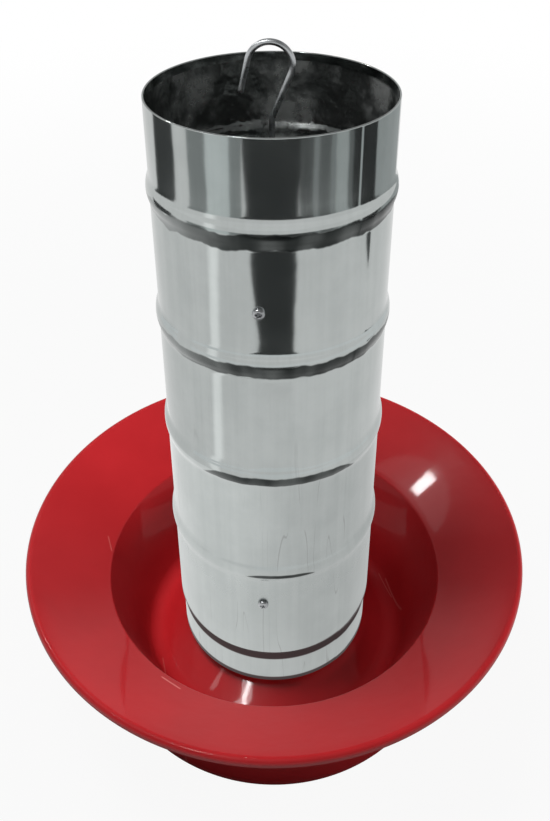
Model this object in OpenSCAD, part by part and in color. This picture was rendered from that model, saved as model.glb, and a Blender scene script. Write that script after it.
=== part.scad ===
// Tube poultry feeder: a rolled sheet-metal tube that stands over a round feed tray, both carried
// by one long wire rod whose top is bent into a hanging hook.
// The ground is z = 0, the rod runs along the Z axis and the tube's screws face -Y.

/* [Tray] */
// Outer diameter of the lip
tray_d = 405; // [380:1:430]
// Height of the lip's outer edge above the ground
tray_h = 130; // [115:1:150]
// Wall of the moulded tray
tray_t = 2.5; // [1.8:0.1:3.5]
// Diameter of the edge where the lip turns down into the bowl
bowl_d = 277; // [265:1:300]
// Rise of the lip from the bowl's edge to its outer edge
lip_rise = 40; // [20:1:50]
// Depth of the turned-down hem along the lip's outer edge
hem_h = 8; // [6:0.5:14]
// Diameter of the trough's corner, where the cone meets the bowl's wall
trough_d = 214; // [200:1:230]
// Height of that corner above the ground
trough_z = 8; // [6:0.5:16]
// Radius moulded along the trough
trough_r = 12; // [6:0.5:16]
// Diameter of the flat top of the centre cone
cone_top_d = 44; // [36:1:60]
// Height of that flat top above the ground
cone_top_z = 46; // [42:0.5:60]
// Outer diameter of the foot skirt at the ground
skirt_d = 290; // [288:1:310]
// How much wider the skirt is at its top, on the radius
skirt_draft = 2.5; // [1:0.5:5]

/* [Tube] */
// Outer diameter of the tube
tube_d = 160; // [140:1:180]
// Height of the tube
tube_h = 472; // [440:1:560]
// Thickness of the sheet
sheet_t = 0.6; // [0.4:0.1:1]
// Upright gap between the tube's foot and the tray's cone, where the feed runs out
feed_gap = 12; // [10:0.5:20]
// Height of the foot band, which is swaged inwards
foot_h = 27; // [15:0.5:32]
// How far the foot band is stepped in
foot_step = 2; // [1:0.1:3]
// Height of the groove that is rolled between the foot band and the wall
groove_h = 10.5; // [8:0.5:14]
// How much deeper than the foot band the groove is
groove_deep = 1.8; // [1:0.1:3]
// Height of the lowest bead above the tube's foot
bead_first = 128.5; // [118:0.5:135]
// Distance between beads
bead_pitch = 94.5; // [80:0.5:98]
// Number of beads
bead_count = 4; // [3:1:4]
// Height of one bead
bead_h = 24; // [14:0.5:28]
// How far a bead stands out
bead_proud = 2.2; // [1:0.1:3]
// Direction of the lapped seam, anticlockwise from +X seen from above
seam_at = 316; // [300:1:340]
// Width of the seam's overlap
seam_w = 11; // [8:0.5:16]
// Height of the rim's fold, which is turned inwards and pressed flat
rim_fold_h = 6; // [4:0.5:10]

/* [Crossbars] */
// Height of the upper pair of screws above the tube's foot
upper_screw_h = 358.5; // [350:0.5:370]
// Height of the lower pair of screws above the tube's foot
lower_screw_h = 95; // [85:0.5:105]
// Width of a crossbar
bar_w = 20; // [16:0.5:26]
// Thickness of a crossbar
bar_t = 1.5; // [1:0.1:2.5]
// Length of the tabs that are bent down at its ends
tab_h = 17; // [15:0.5:22]
// Outer radius of the bend at each tab
bar_bend_r = 3; // [2.6:0.1:4]

/* [Fasteners] */
// Diameter of the crossbar screws
screw_d = 4; // [3.5:0.1:5]
// Length of a screw under its head
screw_l = 10; // [8.5:0.5:14]
// Diameter of a screw's pan head
head_d = 8; // [7.5:0.1:10]
// Height of a screw's pan head
head_h = 3; // [2:0.1:4]
// Width across the flats of a hexagon nut
nut_af = 7; // [7:0.1:8]
// Height of a hexagon nut
nut_h = 3.2; // [2.4:0.1:4]
// Diameter of the washers on the tray
tray_washer_d = 20; // [14:0.5:28]
// Diameter of the washer under the upper crossbar
regulator_washer_d = 14; // [10:0.5:18]
// Thickness of a washer
washer_t = 1.2; // [0.8:0.1:2]
// Diameter of a wing nut's boss
wing_boss_d = 9; // [8:0.1:11]
// Height of a wing nut's boss
wing_boss_h = 5; // [4:0.1:7]
// Distance from tip to tip of a wing nut's wings
wing_span = 26; // [22:0.5:32]
// Height of the wings above the boss's seat
wing_h = 12; // [10:0.5:15]
// Thickness of the wings
wing_t = 2; // [1.5:0.1:3]

/* [Hook rod] */
// Diameter of the wire
wire_d = 4; // [3.5:0.1:4.5]
// Length of wire that stands out under the tray's lower washer
rod_tail = 9; // [7:0.5:16]
// Depth of the hook's first bend below the tube's rim
bend_below_rim = 19; // [15:0.5:40]
// Lean of the hook's neck away from the axis
neck_lean = 22.5; // [16:0.5:26]
// Radius of the bend into the neck, at the wire's centre
neck_r = 15; // [8:0.5:20]
// Straight length of the neck
neck_l = 28.5; // [24:0.5:40]
// Radius of the crook, at the wire's centre
hook_r = 14; // [12:0.5:18]
// How far the hook's tip flares away from upright
tip_flare = 13; // [0:0.5:20]
// Straight length of the tip
tip_l = 22; // [14:0.5:30]

/* [Fits] */
// Clearance on the radius where the rod or a screw passes a plain hole
hole_fit = 0.25; // [0.15:0.05:0.4]
// Clearance on the radius between a nut and its screw or rod
thread_fit = 0.05; // [0.02:0.01:0.1]
// Gap between pieces that are screwed together
seat_gap = 0.05; // [0.02:0.01:0.1]

/* [Hidden] */
$fn = 96;
// Flat steps along one rounded corner of an outline
corner_steps = 8;
red = [0.72, 0.13, 0.16];
zinc = [0.76, 0.77, 0.77];
steel = [0.60, 0.61, 0.62];

tray_r = tray_d / 2;
bowl_r = bowl_d / 2;
bowl_z = tray_h - lip_rise;
lip_edge_r = 3.5;
bowl_edge_r = 4;
cone_edge_r = 5;
skirt_r = skirt_d / 2;
skirt_top_r = skirt_r + skirt_draft;
trough_corner_r = trough_d / 2;
cone_top_r = cone_top_d / 2;
cone_fall = (cone_top_z - trough_z) / (trough_corner_r - cone_top_r);

tube_r = tube_d / 2;
tube_in_r = tube_r - sheet_t;
foot_r = tube_r - foot_step;
foot_bend_r = 1;
groove_r = foot_r - groove_deep;
groove_round = 1.5;
wall_z = foot_h + groove_h;
rim_fold_t = 2 * sheet_t;
rim_round = sheet_t * 0.8;
bead_foot_r = 10;
bead_crest_r = 14;
// The second layer reaches half-way into the first, so that both are one sheet
seam_root_t = sheet_t * 1.5;
cone_z_at_foot = cone_top_z - (foot_r - cone_top_r) * cone_fall;
tube_z = cone_z_at_foot + feed_gap;
rim_z = tube_z + tube_h;
upper_screw_z = tube_z + upper_screw_h;
lower_screw_z = tube_z + lower_screw_h;

// A flat tab touches the round wall only along its two edges
tab_y = sqrt(tube_in_r * tube_in_r - bar_w * bar_w / 4) - seat_gap;
screw_below_bar = tab_h - bar_w / 2 + 2;
nut_corner_r = nut_af / cos(30) / 2;
nut_chamfer = 0.35;
head_side_h = head_h * 0.95;
head_round_r = head_h * 0.72;
wing_tip_r = 3.6;
wing_root_z = 0.4;
wing_boss_taper = 0.8;

rod_hole_r = wire_d / 2 + hole_fit;
screw_hole_r = screw_d / 2 + hole_fit;
nut_seat_y = tab_y - bar_t - seat_gap;
regulator_z = upper_screw_z + screw_below_bar - bar_t - seat_gap;
lower_seat_z = cone_top_z - tray_t - seat_gap;
upper_seat_z = cone_top_z + seat_gap;
rod_z = lower_seat_z - washer_t - rod_tail;
bend_z = rim_z - bend_below_rim;
wire_lap = 0.4;
wire_shy = 0.04;

function unit(v) = v / norm(v);
function flip(list) = [for (i = [len(list) - 1 : -1 : 0]) list[i]];
function xy(c) = [c[0], c[1]];
function left_of(v) = [-v[1], v[0]];
function cross_z(u, v) = u[0] * v[1] - u[1] * v[0];

// Points of one corner b between a and c, rounded to radius r
function corner(a, b, c, r) =
    let (u = unit(a - b), v = unit(c - b), half = acos(u * v) / 2)
    let (centre = b + unit(u + v) * r / sin(half), reach = r / tan(half))
    let (p = b + u * reach - centre, q = b + v * reach - centre)
    let (start = atan2(p[1], p[0]), turn = atan2(cross_z(p, q), p * q))
    [for (i = [0 : corner_steps])
        let (t = start + turn * i / corner_steps)
        centre + r * [cos(t), sin(t)]];

// An open outline from corners given as [r, z, rounding]
function rounded(path) = [
    for (i = [0 : len(path) - 1])
        let (b = xy(path[i]), r = path[i][2])
        each (i == 0 || i == len(path) - 1 || r == 0) ? [b]
            : corner(xy(path[i - 1]), b, xy(path[i + 1]), r)
];

// The same corners moved to the left of the path by t, with roundings that stay concentric
function beside(path, t) = [
    for (i = [0 : len(path) - 1])
        let (b = xy(path[i]))
        let (before = i == 0 ? unit(xy(path[1]) - b) : unit(b - xy(path[i - 1])))
        let (after = i == len(path) - 1 ? before : unit(xy(path[i + 1]) - b))
        let (m = unit(left_of(before) + left_of(after)))
        let (p = b + m * t / (m * left_of(after)))
        let (r = path[i][2], bent = sign(cross_z(before, after)))
        [p[0], p[1], r == 0 ? 0 : r - bent * t]
];

// Outline of a sheet of thickness t that lies to the left of the path
function sheet(path, t) = concat(rounded(path), flip(rounded(beside(path, t))));

// Top face of the tray from the rod hole out to the lip's hem
tray_path = [
    [rod_hole_r, cone_top_z, 0],
    [cone_top_r, cone_top_z, cone_edge_r],
    [trough_corner_r, trough_z, trough_r],
    [bowl_r, bowl_z, bowl_edge_r],
    [tray_r, tray_h, lip_edge_r],
    [tray_r, tray_h - hem_h, 0]
];

// Outer face of the tube from its foot to the lower end of the rim's fold
tube_path = concat(
    [
        [foot_r, tube_z, 0],
        [foot_r, tube_z + foot_h, foot_bend_r],
        [groove_r, tube_z + foot_h + groove_h * 0.35, groove_round],
        [groove_r, tube_z + foot_h + groove_h * 0.65, groove_round],
        [tube_r, tube_z + wall_z, foot_bend_r]
    ],
    [for (i = [0 : bead_count - 1]) each bead(tube_z + bead_first + i * bead_pitch)],
    [[tube_r, rim_z - rim_fold_h, 0]]
);

// Outline of the sheet: up the outside, round the fold and down the inside
tube_outline = concat(
    rounded(concat(tube_path, [
        [tube_r, rim_z, rim_round],
        [tube_r - rim_fold_t, rim_z, rim_round],
        [tube_r - rim_fold_t, rim_z - rim_fold_h, 0]
    ])),
    flip(rounded(beside(tube_path, sheet_t)))
);

// Outer face of the sheet where the seam's second layer lies on it
seam_path = concat(tube_path, [[tube_r, rim_z - rim_round, 0]]);

// Height of the middle of the lip's wall at radius r
function lip_middle(r) =
    let (slope = lip_rise / (tray_r - bowl_r))
    bowl_z + (r - bowl_r) * slope - tray_t / 2 * sqrt(1 + slope * slope);

function bead(z) = [
    [tube_r, z - bead_h / 2, bead_foot_r],
    [tube_r + bead_proud, z, bead_crest_r],
    [tube_r, z + bead_h / 2, bead_foot_r]
];

// Places a fastener's +Z along the outward normal of the tube, at the front or at the rear
module on_wall(z, y, rear = false)
    rotate([0, 0, rear ? 180 : 0])
        translate([0, -y, z])
            rotate([90, 0, 0])
                children();

module bore(r, h)
    translate([0, 0, -1])
        cylinder(r = r, h = h + 2);

module hex_nut(r)
    difference() {
        intersection() {
            cylinder(r = nut_corner_r, h = nut_h, $fn = 6);
            rotate_extrude()
                polygon([
                    [0, 0],
                    [nut_af / 2, 0],
                    [nut_corner_r, nut_chamfer],
                    [nut_corner_r, nut_h - nut_chamfer],
                    [nut_af / 2, nut_h],
                    [0, nut_h]
                ]);
        }
        bore(r, nut_h);
    }

module washer(d, r)
    difference() {
        cylinder(d = d, h = washer_t);
        bore(r, washer_t);
    }

// One ear of a wing nut: a round-ended blade that leans out from the boss
module wing() {
    tip = [wing_span / 2 - wing_tip_r, wing_h - wing_tip_r];
    translate([0, wing_t / 2, 0])
        rotate([90, 0, 0])
            linear_extrude(wing_t) {
                translate(tip)
                    circle(wing_tip_r);
                polygon([
                    [wing_boss_d / 4, wing_root_z],
                    [wing_boss_d / 2, wing_root_z],
                    tip + wing_tip_r * [cos(-38), sin(-38)],
                    tip + wing_tip_r * [cos(128), sin(128)],
                    [wing_boss_d / 4, wing_boss_h]
                ]);
            }
}

module wing_nut(r)
    difference() {
        union() {
            cylinder(d1 = wing_boss_d, d2 = wing_boss_d - 2 * wing_boss_taper, h = wing_boss_h);
            wing();
            rotate([0, 0, 180])
                wing();
        }
        bore(r, wing_h);
    }

module pan_screw() {
    rotate_extrude()
        polygon(rounded([
            [0, 0, 0],
            [head_d / 2, 0, 0],
            [head_d / 2, head_side_h, head_round_r],
            [0, head_h, 0]
        ]));
    translate([0, 0, -screw_l])
        cylinder(d = screw_d, h = screw_l + head_h / 2);
}

// A straight run of wire. It laps into the bend before it and after it, where there is one, and is
// thinner than the bends by a hair, so that each run ends inside the bend's wire.
module wire(l, before = true, after = true) {
    start = before ? -wire_lap : 0;
    end = after ? l + wire_lap : l;
    translate([0, 0, start])
        cylinder(d = wire_d - wire_shy, h = end - start, $fn = 48);
}

// Bends the wire by a degrees in the XZ plane, towards +X where side is 1 and -X where it is -1.
// What follows is drawn from the bend's end, where the wire points along +Z again.
module wire_bend(r, a, side) {
    translate([side * r, 0, 0]) {
        rotate([90, 0, 0])
            rotate([0, 0, side > 0 ? 180 - a : 0])
                rotate_extrude(angle = a, $fn = 96)
                    translate([r, 0])
                        circle(d = wire_d, $fn = 48);
        rotate([0, side * a, 0])
            translate([-side * r, 0, 0])
                children();
    }
}

module feed_tray()
    color(red) {
        rotate_extrude($fn = 180)
            polygon(sheet(tray_path, -tray_t));
        // Foot skirt, rooted half-way into the lip
        rotate_extrude($fn = 180)
            polygon([
                [skirt_r - tray_t, 0],
                [skirt_r, 0],
                [skirt_top_r, lip_middle(skirt_top_r)],
                [skirt_top_r - tray_t, lip_middle(skirt_top_r - tray_t)]
            ]);
    }

module tube_shell()
    color(zinc)
        difference() {
            union() {
                rotate_extrude($fn = 180)
                    polygon(tube_outline);
                // The sheet's second layer along the seam
                rotate([0, 0, seam_at])
                    rotate_extrude(angle = seam_w / tube_r * 180 / PI, $fn = 180)
                        polygon(sheet(beside(seam_path, -sheet_t), seam_root_t));
            }
            for (z = [lower_screw_z, upper_screw_z])
                translate([0, 0, z])
                    rotate([90, 0, 0])
                        cylinder(r = screw_hole_r, h = tube_d + 2 * head_d, center = true);
        }

// A strip across the tube with both ends bent down, its screw holes on the height z
module crossbar(z) {
    top = z + screw_below_bar;
    path = [
        [-tab_y, top - tab_h, 0],
        [-tab_y, top, bar_bend_r],
        [tab_y, top, bar_bend_r],
        [tab_y, top - tab_h, 0]
    ];
    difference() {
        translate([-bar_w / 2, 0, 0])
            rotate([90, 0, 90])
                linear_extrude(bar_w)
                    polygon(sheet(path, -bar_t));
        translate([0, 0, top - bar_t])
            bore(rod_hole_r, bar_t);
        translate([0, 0, z])
            rotate([90, 0, 0])
                cylinder(r = screw_hole_r, h = tube_d, center = true);
    }
}

module upper_crossbar()
    color(zinc)
        crossbar(upper_screw_z);

module lower_crossbar()
    color(zinc)
        crossbar(lower_screw_z);

module wall_screw(z, rear)
    color(steel)
        on_wall(z, tube_r + seat_gap, rear)
            pan_screw();

module wall_nut(z, rear)
    color(steel)
        on_wall(z, nut_seat_y - nut_h, rear)
            hex_nut(screw_d / 2 + thread_fit);

module upper_front_screw() wall_screw(upper_screw_z, false);
module upper_rear_screw() wall_screw(upper_screw_z, true);
module lower_front_screw() wall_screw(lower_screw_z, false);
module lower_rear_screw() wall_screw(lower_screw_z, true);
module upper_front_nut() wall_nut(upper_screw_z, false);
module upper_rear_nut() wall_nut(upper_screw_z, true);
module lower_front_nut() wall_nut(lower_screw_z, false);
module lower_rear_nut() wall_nut(lower_screw_z, true);

module hook_rod() {
    neck_reach = neck_r * tan(neck_lean / 2);
    straight = bend_z - neck_reach - rod_z;
    color(steel)
        translate([0, 0, rod_z]) {
            wire(straight, before = false);
            translate([0, 0, straight])
                wire_bend(neck_r, neck_lean, 1) {
                    wire(neck_l);
                    translate([0, 0, neck_l])
                        wire_bend(hook_r, neck_lean + 180 - tip_flare, -1)
                            wire(tip_l, after = false);
                }
        }
}

module regulator_washer()
    color(steel)
        translate([0, 0, regulator_z - washer_t])
            washer(regulator_washer_d, rod_hole_r);

module regulator_wing_nut()
    color(steel)
        translate([0, 0, regulator_z - washer_t - seat_gap])
            mirror([0, 0, 1])
                wing_nut(wire_d / 2 + thread_fit);

module tray_top_washer()
    color(steel)
        translate([0, 0, upper_seat_z])
            washer(tray_washer_d, rod_hole_r);

module tray_top_nut()
    color(steel)
        translate([0, 0, upper_seat_z + washer_t + seat_gap])
            hex_nut(wire_d / 2 + thread_fit);

module tray_bottom_washer()
    color(steel)
        translate([0, 0, lower_seat_z - washer_t])
            washer(tray_washer_d, rod_hole_r);

module tray_wing_nut()
    color(steel)
        translate([0, 0, lower_seat_z - washer_t - seat_gap])
            mirror([0, 0, 1])
                wing_nut(wire_d / 2 + thread_fit);

feed_tray();
tube_shell();
upper_crossbar();
lower_crossbar();
upper_front_screw();
upper_rear_screw();
lower_front_screw();
lower_rear_screw();
upper_front_nut();
upper_rear_nut();
lower_front_nut();
lower_rear_nut();
hook_rod();
regulator_wing_nut();
regulator_washer();
tray_top_nut();
tray_top_washer();
tray_bottom_washer();
tray_wing_nut();
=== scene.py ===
"""Looks of the tube poultry feeder: a beaded galvanised tube over a red moulded tray on a hooked rod.

Sizes are in millimetres and repeat part.scad; Form.piece() turns them into metres. The ground is
z = 0, the rod runs up the Z axis and the tube's screws face -Y.
"""

import math

import bpy
import numpy as np
from mathutils import Matrix, Quaternion, Vector


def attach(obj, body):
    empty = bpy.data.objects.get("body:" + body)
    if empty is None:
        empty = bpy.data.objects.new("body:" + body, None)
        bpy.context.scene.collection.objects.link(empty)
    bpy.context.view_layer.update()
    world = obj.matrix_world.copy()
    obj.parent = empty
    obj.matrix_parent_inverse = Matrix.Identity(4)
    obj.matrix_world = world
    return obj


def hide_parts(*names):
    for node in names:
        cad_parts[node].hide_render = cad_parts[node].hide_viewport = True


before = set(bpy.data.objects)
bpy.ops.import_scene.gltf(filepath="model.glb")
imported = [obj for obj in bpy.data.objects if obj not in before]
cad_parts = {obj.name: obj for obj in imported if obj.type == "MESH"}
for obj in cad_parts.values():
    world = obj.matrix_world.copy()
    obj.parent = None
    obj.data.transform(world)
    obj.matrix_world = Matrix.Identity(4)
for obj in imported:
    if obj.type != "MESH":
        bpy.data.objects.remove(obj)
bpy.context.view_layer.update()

MM = 0.001

TRAY_R, TRAY_H, TRAY_T = 202.5, 130.0, 2.5
BOWL_R, LIP_RISE, HEM_H = 138.5, 40.0, 8.0
TROUGH_R, TROUGH_Z, TROUGH_ROUND = 107.0, 8.0, 12.0
CONE_TOP_R, CONE_TOP_Z = 22.0, 46.0
SKIRT_R, SKIRT_TOP_R = 145.0, 147.5
TUBE_R, TUBE_H, SHEET_T = 80.0, 472.0, 0.6
FOOT_R, FOOT_H, FEED_GAP = 78.0, 27.0, 12.0
GROOVE_H, GROOVE_R, WALL_H, RIM_FOLD_H = 10.5, 76.2, 37.5, 6.0
BEAD_FIRST, BEAD_PITCH, BEAD_COUNT, BEAD_H, BEAD_PROUD = 128.5, 94.5, 4, 24.0, 2.2
SEAM_AT, SEAM_W = 316.0, 11.0
SCREW_D, SCREW_L, HEAD_D, HEAD_H, SEAT_GAP = 4.0, 10.0, 8.0, 3.0, 0.05
WIRE_D, ROD_HOLE_R, THREAD_PITCH = 4.0, 2.25, 0.7
NECK_LEAN, NECK_R, NECK_L = 22.5, 15.0, 28.5
HOOK_R, TIP_FLARE, TIP_L = 14.0, 13.0, 22.0

CONE_FALL = (CONE_TOP_Z - TROUGH_Z) / (TROUGH_R - CONE_TOP_R)
TUBE_Z = CONE_TOP_Z - (FOOT_R - CONE_TOP_R) * CONE_FALL + FEED_GAP
RIM_Z = TUBE_Z + TUBE_H
UPPER_SCREW_Z = TUBE_Z + 358.5
LOWER_SCREW_Z = TUBE_Z + 95.0
ROD_Z = CONE_TOP_Z - TRAY_T - SEAT_GAP - 1.2 - 9.0
BEND_Z = RIM_Z - 19.0


# Paths and forms


def unit(v):
    return v / np.linalg.norm(v)


def rounded(corners, steps=9):
    """Points of a path of (r, z, rounding) corners. Each rounding is the arc of that radius that
    touches both straight runs at its corner."""
    points = [np.array(corners[0][:2], float)]
    for before, here, after in zip(corners, corners[1:], corners[2:]):
        b = np.array(here[:2], float)
        if here[2] == 0:
            points.append(b)
            continue
        u = unit(np.array(before[:2], float) - b)
        v = unit(np.array(after[:2], float) - b)
        half = math.acos(np.clip(u @ v, -1, 1)) / 2
        centre = b + unit(u + v) * here[2] / math.sin(half)
        p = b + u * here[2] / math.tan(half) - centre
        q = b + v * here[2] / math.tan(half) - centre
        start = math.atan2(p[1], p[0])
        turn = math.atan2(p[0] * q[1] - p[1] * q[0], p @ q)
        t = start + turn * np.linspace(0, 1, steps)
        points.extend(centre + here[2] * np.stack([np.cos(t), np.sin(t)], 1))
    points.append(np.array(corners[-1][:2], float))
    return np.array(points)


def beside(corners, t):
    """The same corners moved to the left of the path by t, with roundings that stay concentric."""
    moved = []
    at = [np.array(c[:2], float) for c in corners]
    for i, (r, z, rounding) in enumerate(corners):
        before = unit(at[i] - at[i - 1]) if i else unit(at[1] - at[0])
        after = unit(at[i + 1] - at[i]) if i + 1 < len(at) else before
        left = np.array([-after[1], after[0]])
        middle = unit(np.array([-before[1], before[0]]) + left)
        p = at[i] + middle * t / (middle @ left)
        bent = np.sign(before[0] * after[1] - before[1] * after[0])
        moved.append((p[0], p[1], rounding - bent * t if rounding else 0))
    return moved


def dense(path, longest):
    """The path with points added evenly on every run that is longer than longest."""
    pieces = [
        a + (b - a) * np.linspace(0, 1, max(1, math.ceil(np.linalg.norm(b - a) / longest)) + 1)[:-1, None]
        for a, b in zip(path, path[1:])
    ]
    return np.concatenate([*pieces, path[-1:]])


def crossing(path, a, b):
    """Where the segment from a to b first crosses the path: the number of the run, and the point."""
    for i, (p, q) in enumerate(zip(path, path[1:])):
        m = np.array([q - p, a - b]).T
        if abs(np.linalg.det(m)) > 1e-9:
            s, t = np.linalg.solve(m, a - p)
            if 0 <= s <= 1 and 0 <= t <= 1:
                return i, p + s * (q - p)
    raise ValueError("the skirt misses the lip")


def quads(index):
    """Four-sided faces over a grid of point numbers, closed both ways; the last row and the last
    column are the faces that close it."""
    a, b = index, np.roll(index, -1, 0)
    return np.stack([a, b, np.roll(b, -1, 1), np.roll(a, -1, 1)], -1)


class Form:
    """Points and faces of one piece, gathered in millimetres."""

    def __init__(self):
        self.points, self.faces, self.shades, self.count = [], [], [], 0

    def grid(self, points, wrap=False, shade=0):
        """Faces over an array of points [u, v, xyz] that is closed along v, and along u if it wraps."""
        nu, nv = points.shape[:2]
        index = np.arange(nu * nv).reshape(nu, nv) + self.count
        faces = quads(index)[: nu if wrap else nu - 1]
        shade = np.broadcast_to(np.reshape(shade, (-1, 1)), faces.shape[:2])
        self.points.append(points.reshape(-1, 3))
        self.faces.extend(faces.reshape(-1, 4).tolist())
        self.shades.extend(shade.reshape(-1).tolist())
        self.count += nu * nv
        return index

    def cap(self, ring, shade=0):
        """One flat face over a closed ring of points."""
        self.faces.append(ring.tolist())
        self.shades.append(shade)

    def piece(self, name, body, node, materials, sharp=32):
        """The finished piece in metres, with every face outwards, riding on its body."""
        mesh = bpy.data.meshes.new(name)
        mesh.from_pydata((np.concatenate(self.points) * MM).tolist(), [], self.faces)
        mesh.polygons.foreach_set("material_index", self.shades)
        for material in materials:
            mesh.materials.append(material)
        outwards(mesh)
        mesh.shade_smooth()
        mesh.set_sharp_from_angle(angle=math.radians(sharp))
        obj = bpy.data.objects.new(name, mesh)
        bpy.context.scene.collection.objects.link(obj)
        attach(obj, body)
        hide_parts(node)
        return obj


def outwards(mesh):
    """Turns all faces of a closed mesh outwards, by the sign of the volume that they enclose."""
    mesh.calc_loop_triangles()
    at = np.empty(len(mesh.vertices) * 3, np.float32)
    mesh.vertices.foreach_get("co", at)
    corners = np.empty(len(mesh.loop_triangles) * 3, np.int32)
    mesh.loop_triangles.foreach_get("vertices", corners)
    a, b, c = at.reshape(-1, 3).astype(float)[corners.reshape(-1, 3)].transpose(1, 0, 2)
    if (a * np.cross(b, c)).sum() < 0:
        mesh.flip_normals()
    mesh.validate()
    mesh.update()


def turned(path, angles):
    """A path of (r, z) turned about Z: the points [i, j] at radius r and height z of path[i], in
    direction angles[j]."""
    r, z = path[:, :1], path[:, 1:]
    return np.stack([r * np.cos(angles), r * np.sin(angles), z + 0 * angles], -1)


def thread(along, angles, start, end, depth=0.36):
    """How deep a right-hand thread cuts in at each place along a rod and direction round it: a
    triangle wave of along / pitch - turns, which fades out over one pitch at start and end."""
    phase = along[:, None] / THREAD_PITCH - angles / (2 * math.pi)
    ridge = 2 * np.abs(phase - np.floor(phase) - 0.5)
    inside = np.clip((along - start) / THREAD_PITCH, 0, 1) * np.clip((end - along) / THREAD_PITCH, 0, 1)
    return depth * ridge * inside[:, None]


# Materials


class Shades:
    """Short calls that add shader nodes to one new material."""

    def __init__(self, name, surface="ShaderNodeBsdfPrincipled"):
        self.material = bpy.data.materials.new(name)
        self.material.use_nodes = True
        self.tree = self.material.node_tree
        self.tree.nodes.clear()
        self.surface = self.add(surface)
        out = self.add("ShaderNodeOutputMaterial")
        self.tree.links.new(self.surface.outputs[0], out.inputs["Surface"])
        self.place = self.add("ShaderNodeTexCoord").outputs["Object"]
        apart = self.add("ShaderNodeSeparateXYZ", Vector=self.place)
        self.x, self.y, self.z = apart.outputs
        self.round = self.maths("ARCTAN2", self.x, self.times(self.y, -1))
        self.reach = self.maths("SQRT", self.plus(self.times(self.x, self.x), self.times(self.y, self.y)))

    def add(self, kind, **sockets):
        node = self.tree.nodes.new(kind)
        for name, value in sockets.items():
            self.put(node.inputs[name.replace("_", " ")], value)
        return node

    def put(self, socket, value):
        if isinstance(value, bpy.types.NodeSocket):
            self.tree.links.new(value, socket)
        else:
            socket.default_value = value

    def set(self, **sockets):
        for name, value in sockets.items():
            self.put(self.surface.inputs[name.replace("_", " ")], value)

    def maths(self, operation, *values):
        node = self.add("ShaderNodeMath")
        node.operation = operation
        for socket, value in zip(node.inputs, values):
            self.put(socket, value)
        return node.outputs[0]

    def plus(self, a, b):
        return self.maths("ADD", a, b)

    def minus(self, a, b):
        return self.maths("SUBTRACT", a, b)

    def times(self, a, b):
        return self.maths("MULTIPLY", a, b)

    def span(self, value, low, high, to_low=0.0, to_high=1.0, smooth=True):
        """value from low..high brought to to_low..to_high, and held beyond them."""
        node = self.add("ShaderNodeMapRange")
        node.interpolation_type = "SMOOTHSTEP" if smooth else "LINEAR"
        ends = {"From Min": low, "From Max": high, "To Min": to_low, "To Max": to_high}
        for name, v in {"Value": value, **ends}.items():
            self.put(node.inputs[name], v)
        return node.outputs[0]

    def vector(self, x, y, z):
        return self.add("ShaderNodeCombineXYZ", X=x, Y=y, Z=z).outputs[0]

    def noise(self, vector, scale, detail=3.0, rough=0.55, distortion=0.0):
        node = self.add("ShaderNodeTexNoise", Vector=vector, Scale=scale, Detail=detail)
        self.put(node.inputs["Roughness"], rough)
        self.put(node.inputs["Distortion"], distortion)
        return node.outputs[0]

    def mix(self, factor, a, b):
        node = self.add("ShaderNodeMix")
        node.data_type, node.clamp_factor = "RGBA", True
        self.put(node.inputs[0], factor)
        self.put(node.inputs[6], (*a, 1) if isinstance(a, tuple) else a)
        self.put(node.inputs[7], (*b, 1) if isinstance(b, tuple) else b)
        return node.outputs[2]

    def mark(self, a, b, width):
        """1 along the line from a to b, two places of (x, y) in millimetres, 0 beyond width."""
        length = math.dist(a, b)
        c, d = (b[0] - a[0]) / length, (b[1] - a[1]) / length
        x, y = self.minus(self.x, a[0] * MM), self.minus(self.y, a[1] * MM)
        along = self.plus(self.times(x, c), self.times(y, d))
        across = self.maths("ABSOLUTE", self.minus(self.times(y, c), self.times(x, d)))
        begun = self.span(along, 0.0, 2 * MM)
        unended = self.span(along, (length - 2) * MM, length * MM, 1.0, 0.0)
        near = self.span(across, width * 0.4 * MM, width * MM, 1.0, 0.0)
        return self.times(self.times(begun, unended), near)

    def bump(self, height, distance, strength=1.0, normal=None):
        node = self.add("ShaderNodeBump", Height=height, Distance=distance, Strength=strength)
        if normal is not None:
            self.put(node.inputs["Normal"], normal)
        return node.outputs[0]


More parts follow.
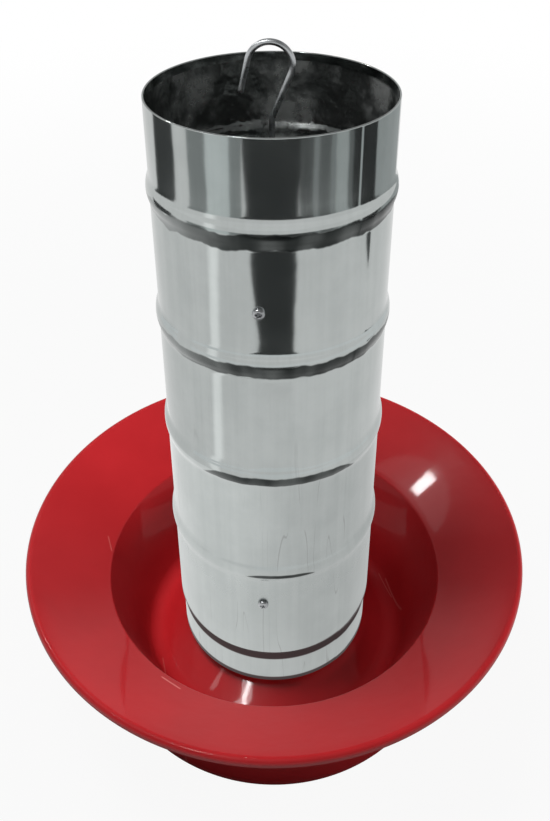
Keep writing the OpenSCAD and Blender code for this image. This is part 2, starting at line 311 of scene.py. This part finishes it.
def tray_plastic():
    """Glossy red moulded plastic: slow changes of tone, a faint orange-peel skin, fine handling
    scratches that run round the tray, dust in the trough, and the few plain scratches of the real
    tray, the brightest where the lip meets the bowl."""
    s = Shades("tray_plastic")
    tone = s.noise(s.place, 9.0, 4.0)
    red = s.mix(s.span(tone, 0.3, 0.7), (0.46, 0.013, 0.017), (0.53, 0.018, 0.023))
    skin = s.noise(s.place, 420.0, 2.0)
    ripple = s.noise(s.place, 55.0, 2.0)
    rings = s.vector(s.times(s.round, 1.6), s.times(s.reach, 260.0), s.times(s.z, 90.0))
    patch = s.span(s.noise(s.place, 16.0, 2.0), 0.5, 0.62)
    scratch = s.times(s.span(s.noise(rings, 3.0, 5.0, 0.75), 0.66, 0.72), patch)
    red = s.mix(s.times(scratch, 0.16), red, (0.75, 0.24, 0.24))
    plain = [
        s.mark((-72.0, -124.3), (-54.4, -134.0), 0.9),
        s.times(s.mark((-146.5, 4.4), (-139.4, -10.2), 0.7), 0.45),
        s.times(s.mark((99.0, 48.8), (113.4, 7.4), 0.6), 0.4),
        s.times(s.mark((92.7, 56.1), (105.5, 27.3), 0.5), 0.35),
        s.times(s.mark((-91.6, -51.8), (-80.0, -83.0), 0.6), 0.3),
    ]
    for one in plain:
        red = s.mix(s.times(one, 0.8), red, (0.80, 0.22, 0.20))
    dust = s.times(s.span(s.z, 0.014, 0.032, 1.0, 0.0), s.span(s.reach, 0.090, 0.100))
    dust = s.times(dust, s.span(s.z, 0.004, 0.0055))
    s.set(Base_Color=red, Metallic=0.0, IOR=1.5, Specular_IOR_Level=0.2, Coat_Roughness=0.05)
    s.set(Coat_Weight=s.span(dust, 0.0, 1.0, 0.3, 0.03))
    rough = s.plus(s.span(tone, 0.3, 0.7, 0.33, 0.42), s.times(scratch, 0.2))
    s.set(Roughness=s.plus(rough, s.times(dust, 0.25)))
    s.set(Normal=s.bump(skin, 0.00004, 0.35, s.bump(ripple, 0.0005, 0.6)))
    return s.material


def bead_flank_shade(s):
    """How dark the sheet is painted under its beads: painted shade and a painted reflection of dark
    surroundings on their lower flanks. Counted from the lowest bead, the band grows from a thin line at
    the front right to a wide band all round. It is darkest at the front right, with wavy edges and
    lighter patches."""
    # Painted shade and painted reflection: these bands darken the colour under each bead.
    count = s.maths("DIVIDE", s.minus(s.z, (TUBE_Z + BEAD_FIRST) * MM), BEAD_PITCH * MM)
    number = s.maths("ROUND", count)
    below = s.times(s.minus(count, number), BEAD_PITCH)
    spread = s.maths("COSINE", s.minus(s.round, 0.17))
    low = s.plus(s.times(s.minus(0.13, s.times(number, 0.35)), number), 0.94)
    high = s.plus(low, s.plus(0.05, s.times(s.times(number, number), 0.12)))
    wide = s.span(spread, low, high)
    around = s.vector(s.times(s.round, 4.0), 0.0, s.times(number, 1.1))
    wobble = s.span(s.noise(around, 1.3, 2.0, 0.5), 0.3, 0.7, -0.45, 0.45, False)
    below = s.plus(below, s.times(wobble, s.plus(number, 0.6)))
    foot = s.minus(-4.6, s.times(number, 2.4))
    grow = s.times(s.minus(4.3, s.times(number, 0.55)), number)
    top = s.plus(s.plus(foot, 2.0), s.times(wide, s.plus(3.2, grow)))
    above_foot = s.span(below, foot, s.plus(foot, 1.6))
    band = s.times(above_foot, s.span(below, s.minus(top, 1.4), top, 1.0, 0.0))
    patchy = s.noise(s.vector(s.times(s.round, 1.6), 0.0, s.times(s.z, 9.0)), 2.0, 2.0)
    strong = s.times(s.span(wide, 0.0, 0.3), s.span(patchy, 0.35, 0.6, 0.85, 1.0))
    front = s.maths("COSINE", s.minus(s.round, 0.55))
    return s.times(band, s.times(strong, s.span(front, 0.1, 0.85, 0.45, 1.0)))


def galvanised_sheet():
    """Rolled galvanised sheet, mirror-like above and a little duller round the foot: faint rolling
    streaks, cloudy patches, hairline scratches up the sheet, and painted shade: a dark reddish band in
    the groove that widens towards the sides, a dark line along the lower edge and dark bands under the
    beads, all standing in for shade and dark reflections."""
    s = Shades("galvanised_sheet")
    streaks = s.noise(s.vector(s.times(s.round, 5.0), 0.0, s.times(s.z, 2.0)), 2.2, 4.0, 0.6)
    cloud = s.noise(s.place, 21.0, 4.0, 0.6)
    tone = s.plus(s.span(streaks, 0.25, 0.75, -0.3, 0.3), s.span(cloud, 0.25, 0.75, -0.5, 0.5))
    metal = s.mix(s.span(tone, -0.8, 0.8), (0.46, 0.49, 0.482), (0.53, 0.56, 0.552))
    hair = s.noise(s.vector(s.times(s.round, 6.0), 0.0, s.times(s.z, 4.0)), 1.0, 1.0, 0.5, 0.6)
    hair = s.span(s.maths("ABSOLUTE", s.minus(hair, 0.5)), 0.0, 0.007, 0.38, 0.0)
    hair = s.times(hair, s.span(s.noise(s.place, 18.0, 1.0), 0.5, 0.6))
    hair = s.times(hair, s.span(s.z, 0.20, 0.36, 1.0, 0.0))
    base = s.mix(hair, metal, (0.2, 0.2, 0.195))
    foot = TUBE_Z + FOOT_H
    aside = s.maths("DIVIDE", s.x, TUBE_R * MM)
    # Painted shade: the groove's dark band rises towards the sides, where the sheet reflects dark.
    rise = s.times(s.times(aside, aside), 5.0 * MM)
    above_foot = s.span(s.z, (foot - 1.5) * MM, foot * MM)
    groove = s.span(s.minus(s.z, rise), (foot + 8.5) * MM, (foot + 10.5) * MM, 1.0, 0.0)
    # Painted shade: a dark line along the lower edge, in place of the edge's shadow and dark reflection.
    edge = s.span(s.z, (TUBE_Z + 3.2) * MM, (TUBE_Z + 4.6) * MM, 1.0, 0.0)
    groove_and_edge_shade = s.maths("MAXIMUM", s.times(above_foot, groove), edge)
    # All painted shade in one mask: groove, lower edge and bead flanks darken the colour and roughen it.
    painted_shade = s.maths("MAXIMUM", s.times(groove_and_edge_shade, 0.95), bead_flank_shade(s))
    base = s.mix(painted_shade, base, s.mix(groove_and_edge_shade, (0.030, 0.034, 0.033), (0.042, 0.016, 0.018)))
    s.set(Base_Color=base, Metallic=s.minus(1.0, s.times(groove_and_edge_shade, 0.6)))
    up = s.span(s.z, 0.07, 0.30)
    rough = s.plus(s.span(up, 0.0, 1.0, 0.30, 0.11), s.times(tone, 0.03))
    s.set(Roughness=s.plus(rough, s.times(painted_shade, 0.15)))
    waves = s.bump(s.noise(s.place, 14.0, 2.0), 0.0006, 0.8)
    s.set(Normal=s.bump(s.noise(s.place, 60.0, 2.0), 0.00008, 0.6, waves))
    return s.material


def tube_inside():
    """The sheet's inner face: the same zinc, with patches of feed dust."""
    s = Shades("tube_inside")
    cloud = s.noise(s.place, 34.0, 4.0, 0.6)
    s.set(Base_Color=s.mix(s.span(cloud, 0.4, 0.72), (0.27, 0.285, 0.28), (0.66, 0.68, 0.67)))
    dusty = s.span(cloud, 0.42, 0.72)
    s.set(Metallic=s.span(dusty, 0.0, 1.0, 0.92, 0.7), Roughness=s.span(dusty, 0.0, 1.0, 0.14, 0.3))
    s.set(Normal=s.bump(s.noise(s.place, 34.0, 3.0), 0.0023, 1.0))
    return s.material


def zinc(name, dark, light, rough):
    """Zinc-plated steel: cloudy tone and gloss, and a skin of fine grain."""
    s = Shades(name)
    cloud = s.noise(s.place, 150.0, 4.0)
    s.set(Base_Color=s.mix(s.span(cloud, 0.3, 0.7), dark, light), Metallic=1.0)
    s.set(Roughness=s.span(cloud, 0.3, 0.7, rough - 0.05, rough + 0.06))
    s.set(Normal=s.bump(s.noise(s.place, 1400.0, 2.0), 0.00002, 0.4))
    return s.material


RED = tray_plastic()
SHEET = galvanised_sheet()
INSIDE = tube_inside()
SCREW = zinc("screw_steel", (0.30, 0.31, 0.32), (0.52, 0.53, 0.54), 0.24)
WIRE = zinc("hook_wire", (0.44, 0.46, 0.47), (0.60, 0.62, 0.63), 0.30)
STEEL = zinc("fastener_steel", (0.58, 0.59, 0.60), (0.76, 0.77, 0.78), 0.26)
STRIP = zinc("galvanised_strip", (0.50, 0.51, 0.51), (0.66, 0.67, 0.67), 0.36)


# Pieces


def feed_tray():
    """The moulded tray: cone, trough, bowl wall, lip and hem above, and the foot skirt below, as one
    outline turned about Z."""
    top = [
        (ROD_HOLE_R, CONE_TOP_Z, 0),
        (CONE_TOP_R, CONE_TOP_Z, 5),
        (TROUGH_R, TROUGH_Z, TROUGH_ROUND),
        (BOWL_R, TRAY_H - LIP_RISE, 4),
        (TRAY_R, TRAY_H, 3.5),
        (TRAY_R, TRAY_H - HEM_H, 0),
    ]
    under = rounded(beside(top, -TRAY_T), 12)[::-1]
    lip_z = under[:, 1].max()
    out_i, out_p = crossing(under, np.array([SKIRT_R, 0.0]), np.array([SKIRT_TOP_R + 1.0, lip_z * 1.4]))
    in_i, in_p = crossing(
        under, np.array([SKIRT_R - TRAY_T, 0.0]), np.array([SKIRT_TOP_R - TRAY_T + 1.0, lip_z * 1.4])
    )
    skirt = rounded(
        [
            (*out_p, 0),
            (SKIRT_R, 0, 0.7),
            (SKIRT_R - TRAY_T, 0, 0.7),
            (*in_p, 0),
        ],
        5,
    )
    outline = np.concatenate([rounded(top, 12), under[: out_i + 1], skirt, under[in_i + 1 :]])
    outline = dense(outline, 9.0)[:-1]
    angles = np.linspace(0, 2 * math.pi, 288, endpoint=False)
    form = Form()
    form.grid(turned(outline, angles), wrap=True)
    return form.piece("feed_tray_moulding", "tray_and_rod", "feed_tray", [RED])


def bead(z):
    """Corners of one bead: arcs of one radius that meet half-way up its flanks."""
    half = BEAD_H / 2
    radius = (half * half + BEAD_PROUD * BEAD_PROUD) / (4 * BEAD_PROUD)
    lean = 2 * math.atan(BEAD_PROUD / half)
    reach = half - radius * math.tan(lean / 2)
    r = radius * 0.98
    return [(TUBE_R, z - reach, r), (TUBE_R + reach * math.tan(lean), z, r), (TUBE_R, z + reach, r)]


def tube_shell():
    """The rolled sheet: the beaded outline with its groove above the foot and its fold at the rim,
    turned about Z. Its radius adds a wave of a few hundredths of a millimetre, and along the seam
    the outer layer, which ends in a step on one side and runs down smoothly on the other."""
    corners = [
        (FOOT_R, TUBE_Z, 0),
        (FOOT_R, TUBE_Z + FOOT_H, 1),
        (GROOVE_R, TUBE_Z + FOOT_H + GROOVE_H * 0.35, 1.5),
        (GROOVE_R, TUBE_Z + FOOT_H + GROOVE_H * 0.65, 1.5),
        (TUBE_R, TUBE_Z + WALL_H, 1),
    ]
    for i in range(BEAD_COUNT):
        corners += bead(TUBE_Z + BEAD_FIRST + i * BEAD_PITCH)
    corners.append((TUBE_R, RIM_Z - RIM_FOLD_H, 0))
    fold_r = TUBE_R - 2 * SHEET_T
    fold = [(TUBE_R, RIM_Z - 1, 0), (TUBE_R, RIM_Z, 0.48), (fold_r, RIM_Z, 0.48)]
    fold.append((fold_r, RIM_Z - RIM_FOLD_H, 0))
    outer = dense(rounded(corners + fold, 7), 7.0)
    inner = dense(rounded(beside(corners, SHEET_T), 5), 12.0)[::-1]
    outline = np.concatenate([outer, inner])
    seam = math.radians(SEAM_AT - 360)
    width = SEAM_W / TUBE_R
    step = [-0.015, -0.01, -0.005, 0.0, 0.005, 0.01, 0.015]
    near = seam + np.array([*step, width * 0.5, width, width + 0.02, width + 0.05, width + 0.09])
    even = np.linspace(0, 2 * math.pi, 216, endpoint=False) + seam + width + 0.12
    even = even[even < seam + 2 * math.pi - 0.02]
    angles = np.concatenate([near, even])
    points = turned(outline, angles)
    past = angles - seam
    rise, fall = np.clip(past / 0.03 + 0.5, 0, 1), np.clip((past - width) / 0.09, 0, 1)
    lap = rise * rise * (3 - 2 * rise) - fall * fall * (3 - 2 * fall)
    lap = 0.3 * lap * (np.arange(len(outline)) < len(outer) - 9)[:, None]
    z = outline[:, 1:] / 100
    wave = 0.05 * np.sin(3 * angles + 1.7 * z) + 0.04 * np.sin(5 * angles - 2.3 * z + 1.0)
    wave = wave + 0.03 * np.sin(9 * angles + 4.1 * z) * np.sin(2.9 * z + 0.4)
    wave = wave * np.clip((outline[:, 1:] - TUBE_Z - WALL_H) / 20, 0, 1)
    away = (lap + wave)[..., None] * np.stack([np.cos(angles), np.sin(angles), 0 * angles], -1)
    form = Form()
    side = np.where(np.arange(len(outline)) < len(outer), 0, 1)
    form.grid(points + away, wrap=True, shade=side)
    return form.piece("tube_sheet", "tube", "tube_shell", [SHEET, INSIDE])


def wire_path():
    """The rod's centreline in the XZ plane as places along it, points and tangents: straight, a bend
    to +X, the neck, the crook back over the top and the tip."""
    lean, over = math.radians(NECK_LEAN), math.radians(NECK_LEAN + 180 - TIP_FLARE)
    straight = BEND_Z - NECK_R * math.tan(lean / 2) - ROD_Z
    runs = [(straight, 0.0), (NECK_R * lean, lean), (NECK_L, 0.0), (HOOK_R * over, -over), (TIP_L, 0.0)]
    threads = [(0.0, 42.0, 0.1), (42.0, 322.0, 6.0), (322.0, 396.0, 0.1)]
    total = sum(length for length, _ in runs)
    along = [np.arange(a, b, step) for a, b, step in [*threads, (396.0, total, 1.5)]]
    along = np.append(np.concatenate(along), total)
    points, heading, begun, at, lean_now = [], [], 0.0, np.array([0.0, ROD_Z]), 0.0
    for length, turn in runs:
        last = length == TIP_L and turn == 0.0
        mine = along[(along >= begun) & ((along < begun + length) | last)] - begun
        mine = np.append(mine, length)
        angle = lean_now + turn * mine / length
        if turn:
            aside, up = math.cos(lean_now) - np.cos(angle), np.sin(angle) - math.sin(lean_now)
            step = length / turn * np.stack([aside, up], 1)
        else:
            step = mine[:, None] * np.array([math.sin(lean_now), math.cos(lean_now)])
        points.append(at + step[:-1])
        heading.append(angle[:-1])
        at, lean_now, begun = at + step[-1], lean_now + turn, begun + length
    return along, np.concatenate(points), np.concatenate(heading)


def hook_rod():
    """The wire: a round section swept along its centreline, with a cut thread where the regulator
    and the tray's nuts run and a small chamfer at each end."""
    along, at, heading = wire_path()
    angles = np.linspace(0, 2 * math.pi, 20, endpoint=False)
    radius = WIRE_D / 2 - thread(along, angles, 1.0, 42.0) - thread(along, angles, 322.0, 396.0)
    ends = np.minimum(along, along[-1] - along)
    radius = radius - 0.5 * np.clip(1 - ends / 0.5, 0, 1)[:, None]
    side = np.stack([np.cos(heading), 0 * heading, -np.sin(heading)], 1)[:, None]
    centre = np.stack([at[:, 0], 0 * heading, at[:, 1]], 1)[:, None]
    across = np.array([0.0, 1.0, 0.0])
    ring = side * np.cos(angles)[:, None] + across * np.sin(angles)[:, None]
    form = Form()
    index = form.grid(centre + ring * radius[..., None])
    form.cap(index[0])
    form.cap(index[-1][::-1])
    return form.piece("hook_wire_rod", "tray_and_rod", "hook_rod", [WIRE], 60)


def pan_screw(name, z, rear):
    """A pan-head screw: the outline of head and shank turned about its axis, a thread cut into the
    shank and a cross-shaped recess pressed into the head."""
    head = rounded([(0.05, HEAD_H, 0), (HEAD_D / 2, HEAD_H * 0.95, HEAD_H * 0.72), (HEAD_D / 2, 0.12, 0)], 8)
    head = dense(head, 0.22)
    under = np.array([(HEAD_D / 2 - 0.12, 0.0), (SCREW_D / 2, 0.0)])
    shank = np.stack([np.full(104, SCREW_D / 2), np.linspace(0, -SCREW_L + 0.4, 105)[1:]], 1)
    tip = np.array([(SCREW_D / 2 - 0.5, -SCREW_L)])
    outline = np.concatenate([head, under, shank, tip])
    angles = np.linspace(0, 2 * math.pi, 48, endpoint=False)
    cut = thread(-outline[:, 1], angles, 0.8, SCREW_L + 2) * (outline[:, 1] < -0.01)[:, None]
    r = outline[:, :1] - cut * (outline[:, :1] > SCREW_D / 2 - 0.1)
    x, y = r * np.cos(angles), r * np.sin(angles)
    arm = np.maximum(
        np.clip((0.62 - np.abs(x)) / 0.2, 0, 1) * np.clip((2.1 - np.abs(y)) / 0.3, 0, 1),
        np.clip((0.62 - np.abs(y)) / 0.2, 0, 1) * np.clip((2.1 - np.abs(x)) / 0.3, 0, 1),
    )
    out = outline[:, 1:] - 1.3 * arm * (outline[:, 1:] > HEAD_H * 0.7)
    tilt = math.radians(20 if rear else -12)
    x, y = x * math.cos(tilt) - y * math.sin(tilt), x * math.sin(tilt) + y * math.cos(tilt)
    way = -1 if rear else 1
    points = np.stack([way * x, -way * (TUBE_R + SEAT_GAP + out), z + y], -1)
    form = Form()
    index = form.grid(points)
    form.cap(index[0])
    form.cap(index[-1][::-1])
    return form.piece(name + "_threaded", "tube", name, [SCREW])


def finish_node(name, material):
    """Gives a CAD node that is already right in shape its material."""
    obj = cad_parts[name]
    obj.data.materials.clear()
    obj.data.materials.append(material)


feed_tray()
tube_shell()
hook_rod()
for screw, height, at_rear in (
    ("upper_front_screw", UPPER_SCREW_Z, False),
    ("upper_rear_screw", UPPER_SCREW_Z, True),
    ("lower_front_screw", LOWER_SCREW_Z, False),
    ("lower_rear_screw", LOWER_SCREW_Z, True),
):
    pan_screw(screw, height, at_rear)
for bar in ("upper_crossbar", "lower_crossbar"):
    finish_node(bar, STRIP)
for small in (
    "upper_front_nut",
    "upper_rear_nut",
    "lower_front_nut",
    "lower_rear_nut",
    "regulator_wing_nut",
    "regulator_washer",
    "tray_top_nut",
    "tray_top_washer",
    "tray_bottom_washer",
    "tray_wing_nut",
):
    finish_node(small, STEEL)


# Stage, camera and light


def from_front(azimuth, distance, z):
    """A point at an azimuth counted from -Y towards +X, a distance from the rod's axis, and z."""
    a = math.radians(azimuth)
    return (distance * math.sin(a), -distance * math.cos(a), z)


def stage_mesh(name, corners, faces, material, shown=True):
    """A stage object, which isn't sampled as a lamp. One that isn't shown is there for glossy
    surfaces only: it neither lights nor shades."""
    mesh = bpy.data.meshes.new(name)
    mesh.from_pydata(corners, [], faces)
    mesh.materials.append(material)
    material.cycles.emission_sampling = "NONE"
    obj = bpy.data.objects.new(name, mesh)
    bpy.context.scene.collection.objects.link(obj)
    if not shown:
        obj.visible_camera = obj.visible_diffuse = obj.visible_transmission = obj.visible_shadow = False
    return obj


def only_for(light, *names):
    """Makes a lamp or glowing card shine on the named objects only."""
    lit = bpy.data.collections.new("lit_by_" + light.name)
    light.light_linking.receiver_collection = lit
    for name in names:
        lit.objects.link(bpy.data.objects[name])


def plain_floor():
    """A pale floor that keeps the object's shadow and is white to the camera. In glossy surfaces it
    shows a painted shadow under the tray and a painted light, one lighter strip at the front left."""
    s = Shades("floor", "ShaderNodeMixShader")
    path = s.add("ShaderNodeLightPath")
    matt = s.add("ShaderNodeBsdfDiffuse", Color=(0.4, 0.4, 0.4, 1))
    # Painted shadow under the tray and a painted light strip, for glossy surfaces only.
    tone = s.span(s.reach, 0.22, 0.33, 0.03, 0.86)
    strip = s.times(s.span(s.round, -0.96, -0.88), s.span(s.round, -0.80, -0.72, 1.0, 0.0))
    tone = s.plus(tone, s.times(strip, s.span(s.reach, 0.25, 0.35, 0.0, 0.4)))
    glossy = path.outputs["Is Glossy Ray"]
    strength = s.plus(s.times(glossy, tone), s.minus(1.0, glossy))
    glow = s.add("ShaderNodeEmission", Strength=strength)
    seen = s.maths("MAXIMUM", path.outputs["Is Camera Ray"], path.outputs["Is Transmission Ray"])
    pale = s.times(seen, s.span(s.reach, 0.4, 2.0, 0.93, 1.0))
    share = s.maths("MAXIMUM", pale, s.times(glossy, 0.93))
    for socket, value in zip(s.surface.inputs, (share, matt.outputs[0], glow.outputs[0])):
        s.put(socket, value)
    disc = [from_front(azimuth, 60.0, 0.0) for azimuth in range(0, -360, -10)]
    stage_mesh("floor", disc, [tuple(range(len(disc)))], s.material)


def reflector():
    """A pale card that follows the tray's upper side 2 mm above it and glows: a painted reflection that
    shows from above only, in the tube's metal only, with painted shade that makes it a little darker on
    the right."""
    s = Shades("reflector", "ShaderNodeMixShader")
    # Painted shade: the glow is weaker towards the right.
    glow = s.add("ShaderNodeEmission", Strength=s.span(s.x, -0.12, 0.12, 1.0, 0.74))
    clear = s.add("ShaderNodeBsdfTransparent")
    back = s.add("ShaderNodeNewGeometry").outputs["Backfacing"]
    for socket, value in zip(s.surface.inputs, (back, glow.outputs[0], clear.outputs[0])):
        s.put(socket, value)
    top = [
        (79.0, 20.5, 0),
        (TROUGH_R, TROUGH_Z, TROUGH_ROUND),
        (BOWL_R, TRAY_H - LIP_RISE, 4),
        (TRAY_R, TRAY_H, 0),
    ]
    points = turned(rounded(beside(top, 2.0)), np.linspace(0, 2 * math.pi, 96, endpoint=False))
    faces = quads(np.arange(points[..., 0].size).reshape(points.shape[:2]))[:-1]
    places, faces = points.reshape(-1, 3) * MM, faces.reshape(-1, 4)
    card = stage_mesh("reflector", places.tolist(), faces.tolist(), s.material, False)
    only_for(card, "tube_sheet", "lower_front_screw_threaded", "lower_rear_screw_threaded")


def flag(name, near, far, tone, ends):
    """A studio flag that lies on the floor, only for glossy surfaces, and is pale from the beads'
    upper flanks: there its reflection comes in much flatter than from the plain wall at the same
    height, where it falls by (0.688 m - height) over the wall's distance from the camera. near and
    far are the azimuths of its sides at its two ends, and ends is how far those are from the rod."""
    s = Shades(name, "ShaderNodeEmission")
    sine = s.minus(1.0, s.add("ShaderNodeLayerWeight", Blend=0.5).outputs["Facing"])
    slope = s.maths("DIVIDE", sine, s.maths("SQRT", s.minus(1.0, s.times(sine, sine))))
    height = s.times(s.minus(s.reach, TUBE_R * MM), slope)
    side = s.maths("COSINE", s.times(s.minus(s.round, 0.1), 0.5))
    distance = s.minus(0.53, s.times(side, TUBE_R * MM))
    wall = s.maths("DIVIDE", s.minus(0.688, height), distance)
    flat = s.span(s.minus(wall, slope), 0.27, 0.33)
    s.set(Color=s.mix(flat, (tone, tone * 1.06, tone * 1.06), (0.84, 0.86, 0.87)))
    steps = np.linspace(0, 1, 9)
    inner = [from_front(near[0] + (near[1] - near[0]) * t, ends[0], 0.001) for t in steps]
    outer = [from_front(far[1] + (far[0] - far[1]) * t, ends[1], 0.001) for t in steps]
    stage_mesh(name, inner + outer, [tuple(range(18))], s.material, False)


def camera():
    """The photograph's view: from the front, slightly to the right, looking down at 31 degrees."""
    data = bpy.data.cameras.new("camera")
    obj = bpy.data.objects.new("camera", data)
    bpy.context.scene.collection.objects.link(obj)
    pitch, roll, turn = math.radians(30.9), math.radians(-0.235), math.radians(6.0)
    place = Matrix.Rotation(turn, 4, "Z") @ Matrix.Translation((0.00165, -0.5305, 0.6884))
    aim = Matrix.Rotation(math.pi / 2 - pitch, 4, "X") @ Matrix.Rotation(roll, 4, "Z")
    obj.matrix_world = place @ aim
    data.sensor_width, data.lens, data.shift_y = 36, 38.98, -0.165
    data.clip_start, data.clip_end = 0.01, 50
    bpy.context.scene.camera = obj


def lamp(name, way, size, energy, at=(0, 0, 0.2), glint=False, turn=0, shape="RECTANGLE"):
    """A soft lamp, size metres wide and high, 1.9 m from a point of the object in the direction way,
    aimed at that point and turned about the line between them by degrees. It lights matt surfaces
    only, or as a glint shows in glossy ones only."""
    data = bpy.data.lights.new(name, "AREA")
    data.shape, data.size, data.size_y, data.energy = shape, *size, energy
    obj = bpy.data.objects.new(name, data)
    bpy.context.scene.collection.objects.link(obj)
    way = Vector(way).normalized()
    obj.location = Vector(at) + way * 1.9
    obj.rotation_mode = "QUATERNION"
    obj.rotation_quaternion = way.to_track_quat("Z", "Y") @ Quaternion((0, 0, 1), math.radians(turn))
    obj.visible_glossy, obj.visible_diffuse = glint, not glint
    return obj


def studio_world():
    """Even soft light from all round, white to the camera. In glossy surfaces it is pale near the
    horizon, where the backdrop is, and grey higher up."""
    world = bpy.data.worlds.new("studio")
    world.use_nodes = True
    tree = world.node_tree
    back = tree.nodes["Background"]
    back.inputs["Color"].default_value = (1, 1, 1, 1)
    path = tree.nodes.new("ShaderNodeLightPath")
    place = tree.nodes.new("ShaderNodeTexCoord")
    apart = tree.nodes.new("ShaderNodeSeparateXYZ")
    high = tree.nodes.new("ShaderNodeMapRange")
    for name, value in (("From Min", 0.2), ("From Max", 0.36), ("To Min", 0.8), ("To Max", 0.22)):
        high.inputs[name].default_value = value
    seen = tree.nodes.new("ShaderNodeMath")
    seen.operation = "MULTIPLY_ADD"
    strength = tree.nodes.new("ShaderNodeMath")
    strength.inputs[1].default_value = 0.06
    tree.links.new(place.outputs["Generated"], apart.inputs[0])
    tree.links.new(apart.outputs["Z"], high.inputs["Value"])
    tree.links.new(path.outputs["Is Glossy Ray"], seen.inputs[0])
    tree.links.new(high.outputs[0], seen.inputs[1])
    tree.links.new(path.outputs["Is Camera Ray"], seen.inputs[2])
    tree.links.new(seen.outputs[0], strength.inputs[0])
    tree.links.new(strength.outputs[0], back.inputs["Strength"])
    bpy.context.scene.world = world


plain_floor()
reflector()
studio_world()

# Flags: the azimuths of both sides near the rod and far from it, the tone, and how near and far
RING = (0.93, 1.7)
for number, (near, far, tone, ends) in enumerate(
    (
        ((-118, -88), (-118, -88), 0.06, RING),
        ((-71, -52), (-71, -52), 0.28, RING),
        ((-52, -30), (-52, -30), 0.70, RING),
        ((-30, -20), (-30, -20), 0.3, RING),
        ((-3, 23), (-22, 32), 0.045, (0.53, 1.7)),
        ((30, 42), (30, 42), 0.10, RING),
        ((42, 47), (42, 47), 0.28, RING),
        ((47, 58), (47, 58), 0.15, RING),
        ((58, 63), (58, 63), 0.28, RING),
        ((63, 75), (63, 75), 0.47, RING),
        ((75, 80), (75, 80), 0.18, RING),
        ((80, 113), (80, 113), 0.04, RING),
        ((102, 104), (96, 110), 0.07, (0.76, 0.93)),
        ((113, 160), (113, 160), 0.4, RING),
    )
):
    flag(f"flag_{number}", near, far, tone, ends)
lamp("key", (-0.31, 0.0, 0.95), (0.8, 0.8), 26)
lamp("side", (0.92, 0.37, 0.147), (1.4, 0.16), 25)
lamp("back", (0.0, 0.7, 0.7), (0.7, 0.5), 6)
lamp("front", (0.0, -0.7, 0.7), (0.7, 0.5), 2.5)

# Glints: the bright one on the lip in its soft halo, the pair at the front of the trough, and the
# shine of the hook and the front screws
LIP, CONE = (-0.647, 0.221, 0.73), (-0.231, -0.226, 0.946)
lamp("lip_glint", LIP, (0.12, 0.075), 2.2, (0.129, 0.088, 0.101), True, 43)
for number, (long, wide) in enumerate(((1.15, 0.14), (0.95, 0.11), (0.7, 0.08))):
    power, at = 3.3 * long * wide, (0.125, 0.0855, 0.099)
    lamp(f"lip_halo_{number}", LIP, (long, wide), power, at, True, 43, "ELLIPSE")
lamp("cone_glint", CONE, (0.07, 0.10), 1.5, (-0.015, -0.080, 0.020), True)
lamp("cone_halo", CONE, (0.42, 0.12), 2.2, (-0.015, -0.080, 0.020), True, shape="ELLIPSE")
trough_way, trough_at = (-0.488, -0.111, 0.866), (-0.043, -0.078, 0.016)
lamp("trough_glint", trough_way, (0.13, 0.08), 0.17, trough_at, True, shape="ELLIPSE")
only_for(
    lamp("metal_glint", (-0.45, -0.35, 0.82), (0.5, 0.5), 7, (0, 0, 0.4), True),
    "hook_wire_rod",
    "upper_front_screw_threaded",
    "lower_front_screw_threaded",
)
camera()
scene = bpy.context.scene
scene.view_settings.view_transform = "Standard"
